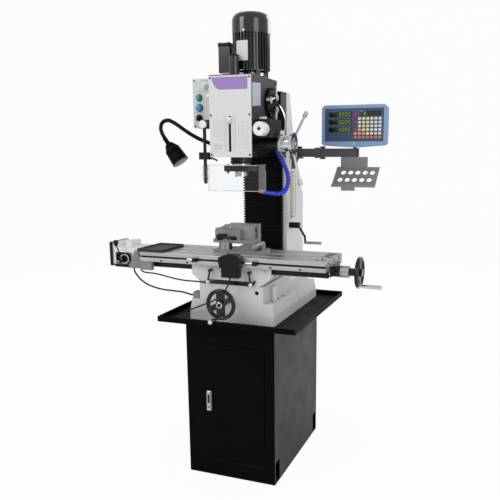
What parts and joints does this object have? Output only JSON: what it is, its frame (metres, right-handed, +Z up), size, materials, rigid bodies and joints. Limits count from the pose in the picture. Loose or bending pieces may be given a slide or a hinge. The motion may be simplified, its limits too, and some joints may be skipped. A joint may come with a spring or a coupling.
{
  "type": "vertical milling machine",
  "caption": "Vertical mill-drill on a cabinet stand with tilting geared head, quill, power table feed, vise, digital readout and work lamp.",
  "frame": {"origin": "centre of the cabinet's footprint on the floor", "axes": "+Z up, +X to the right along the table, +Y to the back"},
  "size_m": [1.163, 0.794, 1.896],
  "materials": {
    "sheet_black": "satin powder coat",
    "sheet_grey": "satin powder coat",
    "steel_bright": "ground steel",
    "paint_white": "semi-gloss enamel",
    "black_oxide": "black oxide",
    "aluminium": "satin extrusion",
    "rubber_black": "matt rubber",
    "plastic_black": "moulded",
    "wheel_black": "gloss enamel",
    "table_iron": "ground",
    "cast_grey": "semi-gloss enamel",
    "slide_black": "semi-gloss enamel",
    "motor_black": "gloss enamel",
    "button_green": "gloss",
    "button_blue": "gloss",
    "lamp_black": "satin",
    "hose_blue": "gloss",
    "clear_guard": "clear polycarbonate",
    "chrome": "polished",
    "knob_white": "satin",
    "arm_grey": "satin",
    "display_blue": "satin"
  },
  "bodies": {
    "stand": {"cabinet": "sheet_grey", "chip_tray": "sheet_black", "base_casting": "paint_white", "column": "paint_white", "column_bolts": "black_oxide", "z_scale": "aluminium", "way_cover": "rubber_black", "column_bellows": "rubber_black", "dro_bracket": "arm_grey", "cable_feed": "rubber_black"},
    "door": {"cabinet_door": "sheet_black"},
    "latch": {"door_latch": "steel_bright"},
    "z_screw": {"z_screw": "steel_bright"},
    "z_crank": {"z_crank": "black_oxide"},
    "saddle": {"saddle": "paint_white", "limit_switch": "plastic_black", "cable_table": "rubber_black", "cable_switch": "rubber_black"},
    "saddle_lock_left": {"saddle_lock_left": "plastic_black"},
    "saddle_lock_right": {"saddle_lock_right": "plastic_black"},
    "y_wheel": {"y_handwheel": "wheel_black"},
    "y_grip": {"y_grip": "steel_bright"},
    "table": {"table": "table_iron", "end_tray": "cast_grey", "x_bearing": "wheel_black", "table_stops": "black_oxide", "feed_bracket": "cast_grey", "power_feed": "paint_white", "vise_base": "table_iron"},
    "x_wheel": {"x_handwheel": "wheel_black"},
    "x_grip": {"x_grip": "steel_bright"},
    "feed_lever": {"feed_lever": "plastic_black"},
    "feed_dial": {"feed_dial": "plastic_black"},
    "vise_jaw": {"vise_jaw": "table_iron"},
    "vise_handle": {"vise_handle": "black_oxide"},
    "z_slide": {"z_slide": "slide_black"},
    "head": {"head_casting": "cast_grey", "front_plate": "paint_white", "motor": "motor_black", "fan_cover": "motor_black", "control_panel": "paint_white", "work_lamp": "lamp_black", "coolant_hose": "hose_blue", "guard_arm": "black_oxide"},
    "motor_shaft": {"motor_shaft": "steel_bright"},
    "spindle_gear": {"spindle_gear": "steel_bright"},
    "start_button": {"start_button": "button_green"},
    "stop_button": {"stop_button": "button_blue"},
    "speed_switch": {"speed_switch": "plastic_black"},
    "chip_guard": {"chip_guard": "clear_guard"},
    "gear_lever_upper": {"gear_lever_upper": "chrome"},
    "gear_lever_lower": {"gear_lever_lower": "chrome"},
    "fine_feed_knob": {"fine_feed_knob": "knob_white"},
    "quill": {"quill": "steel_bright", "quill_clamp": "black_oxide"},
    "spindle": {"spindle": "steel_bright"},
    "feed_hub": {"feed_hub": "chrome"},
    "dro_inner_arm": {"dro_inner_arm": "arm_grey"},
    "dro_outer_arm": {"dro_outer_arm": "arm_grey"},
    "dro_display": {"dro_display": "display_blue"}
  },
  "joints": [
    {"name": "door_swing", "type": "hinge", "parent": "stand", "child": "door", "pos_m": [0.145, -0.282, 0.3], "axis": [0, 0, 1], "range_deg": [0, 110]},
    {"name": "latch_turn", "type": "hinge", "parent": "door", "child": "latch", "pos_m": [-0.096, -0.282, 0.333], "axis": [0, 1, 0], "range_deg": [0, 90]},
    {"name": "saddle_slide", "type": "slide", "parent": "stand", "child": "saddle", "axis": [0, -1, 0], "range_m": [-0.095, 0.06], "deforming": ["way_cover", "cable_switch"]},
    {"name": "y_wheel_turn", "type": "hinge", "parent": "stand", "child": "y_wheel", "pos_m": [0, -0.357, 0.7705], "axis": [0, -1, 0], "range_deg": [-7000, 7000]},
    {"name": "y_grip_spin", "type": "hinge", "parent": "y_wheel", "child": "y_grip", "pos_m": [-0.012, -0.38, 0.717], "axis": [0, -1, 0], "continuous": true},
    {"name": "saddle_lock_left_turn", "type": "hinge", "parent": "saddle", "child": "saddle_lock_left", "pos_m": [-0.084, -0.262, 0.8858], "axis": [0, -1, 0], "range_deg": [-40, 40]},
    {"name": "saddle_lock_right_turn", "type": "hinge", "parent": "saddle", "child": "saddle_lock_right", "pos_m": [0.086, -0.262, 0.8858], "axis": [0, -1, 0], "range_deg": [-40, 40]},
    {"name": "table_slide", "type": "slide", "parent": "saddle", "child": "table", "axis": [1, 0, 0], "range_m": [-0.2, 0.2], "deforming": ["cable_feed", "cable_table"]},
    {"name": "x_wheel_turn", "type": "hinge", "parent": "table", "child": "x_wheel", "pos_m": [0, -0.166, 0.8945], "axis": [1, 0, 0], "range_deg": [-14500, 14500]},
    {"name": "x_grip_spin", "type": "hinge", "parent": "x_wheel", "child": "x_grip", "pos_m": [0.54, -0.166, 0.841], "axis": [1, 0, 0], "continuous": true},
    {"name": "feed_lever_tilt", "type": "hinge", "parent": "table", "child": "feed_lever", "pos_m": [-0.504, -0.25, 0.927], "axis": [0, -1, 0], "range_deg": [-15, 15]},
    {"name": "feed_dial_turn", "type": "hinge", "parent": "table", "child": "feed_dial", "pos_m": [-0.501, -0.25, 0.905], "axis": [0, -1, 0], "range_deg": [-135, 135]},
    {"name": "vise_jaw_slide", "type": "slide", "parent": "table", "child": "vise_jaw", "axis": [0, 1, 0], "range_m": [-0.0015, 0.0255]},
    {"name": "vise_crank", "type": "hinge", "parent": "vise_jaw", "child": "vise_handle", "pos_m": [-0.04, -0.261, 1.0215], "axis": [0, 1, 0], "range_deg": [-120, 1900]},
    {"name": "head_slide", "type": "slide", "parent": "stand", "child": "z_slide", "axis": [0, 0, 1], "range_m": [-0.11, 0], "deforming": ["column_bellows"]},
    {"name": "z_screw_turn", "type": "hinge", "parent": "stand", "child": "z_screw", "pos_m": [0, 0.158, 1.2], "axis": [0, 0, 1], "range_deg": [-10000, 100]},
    {"name": "z_crank_turn", "type": "hinge", "parent": "stand", "child": "z_crank", "pos_m": [0.12, 0.158, 1.028], "axis": [1, 0, 0], "range_deg": [-10000, 100]},
    {"name": "head_tilt", "type": "hinge", "parent": "z_slide", "child": "head", "pos_m": [0, 0.05, 1.468], "axis": [0, 1, 0], "range_deg": [-45, 45]},
    {"name": "quill_feed", "type": "slide", "parent": "head", "child": "quill", "axis": [0, 0, -1], "range_m": [0, 0.12]},
    {"name": "feed_hub_turn", "type": "hinge", "parent": "head", "child": "feed_hub", "pos_m": [0, -0.089, 1.383], "axis": [1, 0, 0], "range_deg": [-20, 540]},
    {"name": "spindle_spin", "type": "hinge", "parent": "quill", "child": "spindle", "pos_m": [0, -0.14, 1.4], "axis": [0, 0, 1], "continuous": true},
    {"name": "spindle_gear_spin", "type": "hinge", "parent": "head", "child": "spindle_gear", "pos_m": [0, -0.14, 1.54], "axis": [0, 0, 1], "continuous": true},
    {"name": "motor_spin", "type": "hinge", "parent": "head", "child": "motor_shaft", "pos_m": [0, -0.02, 1.6], "axis": [0, 0, 1], "continuous": true},
    {"name": "start_press", "type": "slide", "parent": "head", "child": "start_button", "axis": [0, 1, 0], "range_m": [0, 0.003], "stiffness_N_per_m": 600},
    {"name": "stop_press", "type": "slide", "parent": "head", "child": "stop_button", "axis": [0, 1, 0], "range_m": [0, 0.003], "stiffness_N_per_m": 600},
    {"name": "speed_switch_turn", "type": "hinge", "parent": "head", "child": "speed_switch", "pos_m": [-0.19, -0.122, 1.488], "axis": [0, 1, 0], "range_deg": [-45, 45]},
    {"name": "guard_swing", "type": "hinge", "parent": "head", "child": "chip_guard", "pos_m": [-0.115, -0.23, 1.26], "axis": [0, 0, -1], "range_deg": [0, 100]},
    {"name": "gear_lever_upper_turn", "type": "hinge", "parent": "head", "child": "gear_lever_upper", "pos_m": [0.097, -0.035, 1.566], "axis": [1, 0, 0], "range_deg": [-25, 25]},
    {"name": "gear_lever_lower_turn", "type": "hinge", "parent": "head", "child": "gear_lever_lower", "pos_m": [0.097, -0.035, 1.518], "axis": [1, 0, 0], "range_deg": [-25, 25]},
    {"name": "fine_feed_turn", "type": "hinge", "parent": "head", "child": "fine_feed_knob", "pos_m": [0.1155, -0.2, 1.438], "axis": [0, 1, 0], "continuous": true},
    {"name": "dro_shoulder", "type": "hinge", "parent": "stand", "child": "dro_inner_arm", "pos_m": [0.118, 0.25, 1.347], "axis": [0, 0, 1], "range_deg": [-15, 60]},
    {"name": "dro_elbow", "type": "hinge", "parent": "dro_inner_arm", "child": "dro_outer_arm", "pos_m": [0.227, 0.25, 1.347], "axis": [0, 0, 1], "range_deg": [-15, 75]},
    {"name": "dro_swivel", "type": "hinge", "parent": "dro_outer_arm", "child": "dro_display", "pos_m": [0.374, 0.25, 1.4], "axis": [0, 0, 1], "range_deg": [-40, 40]}
  ],
  "couplings": [
    {"joint": "y_wheel_turn", "follows": "saddle_slide", "rad_per_m": -1256.6},
    {"joint": "x_wheel_turn", "follows": "table_slide", "rad_per_m": -1256.6},
    {"joint": "vise_crank", "follows": "vise_jaw_slide", "rad_per_m": 1256.6},
    {"joint": "z_screw_turn", "follows": "head_slide", "rad_per_m": 1570.8},
    {"joint": "z_crank_turn", "follows": "head_slide", "rad_per_m": 1570.8},
    {"joint": "feed_hub_turn", "follows": "quill_feed", "rad_per_m": 74.074},
    {"joint": "spindle_gear_spin", "follows": "spindle_spin", "ratio": 1},
    {"joint": "motor_spin", "follows": "spindle_spin", "ratio": -1.6667}
  ]
}
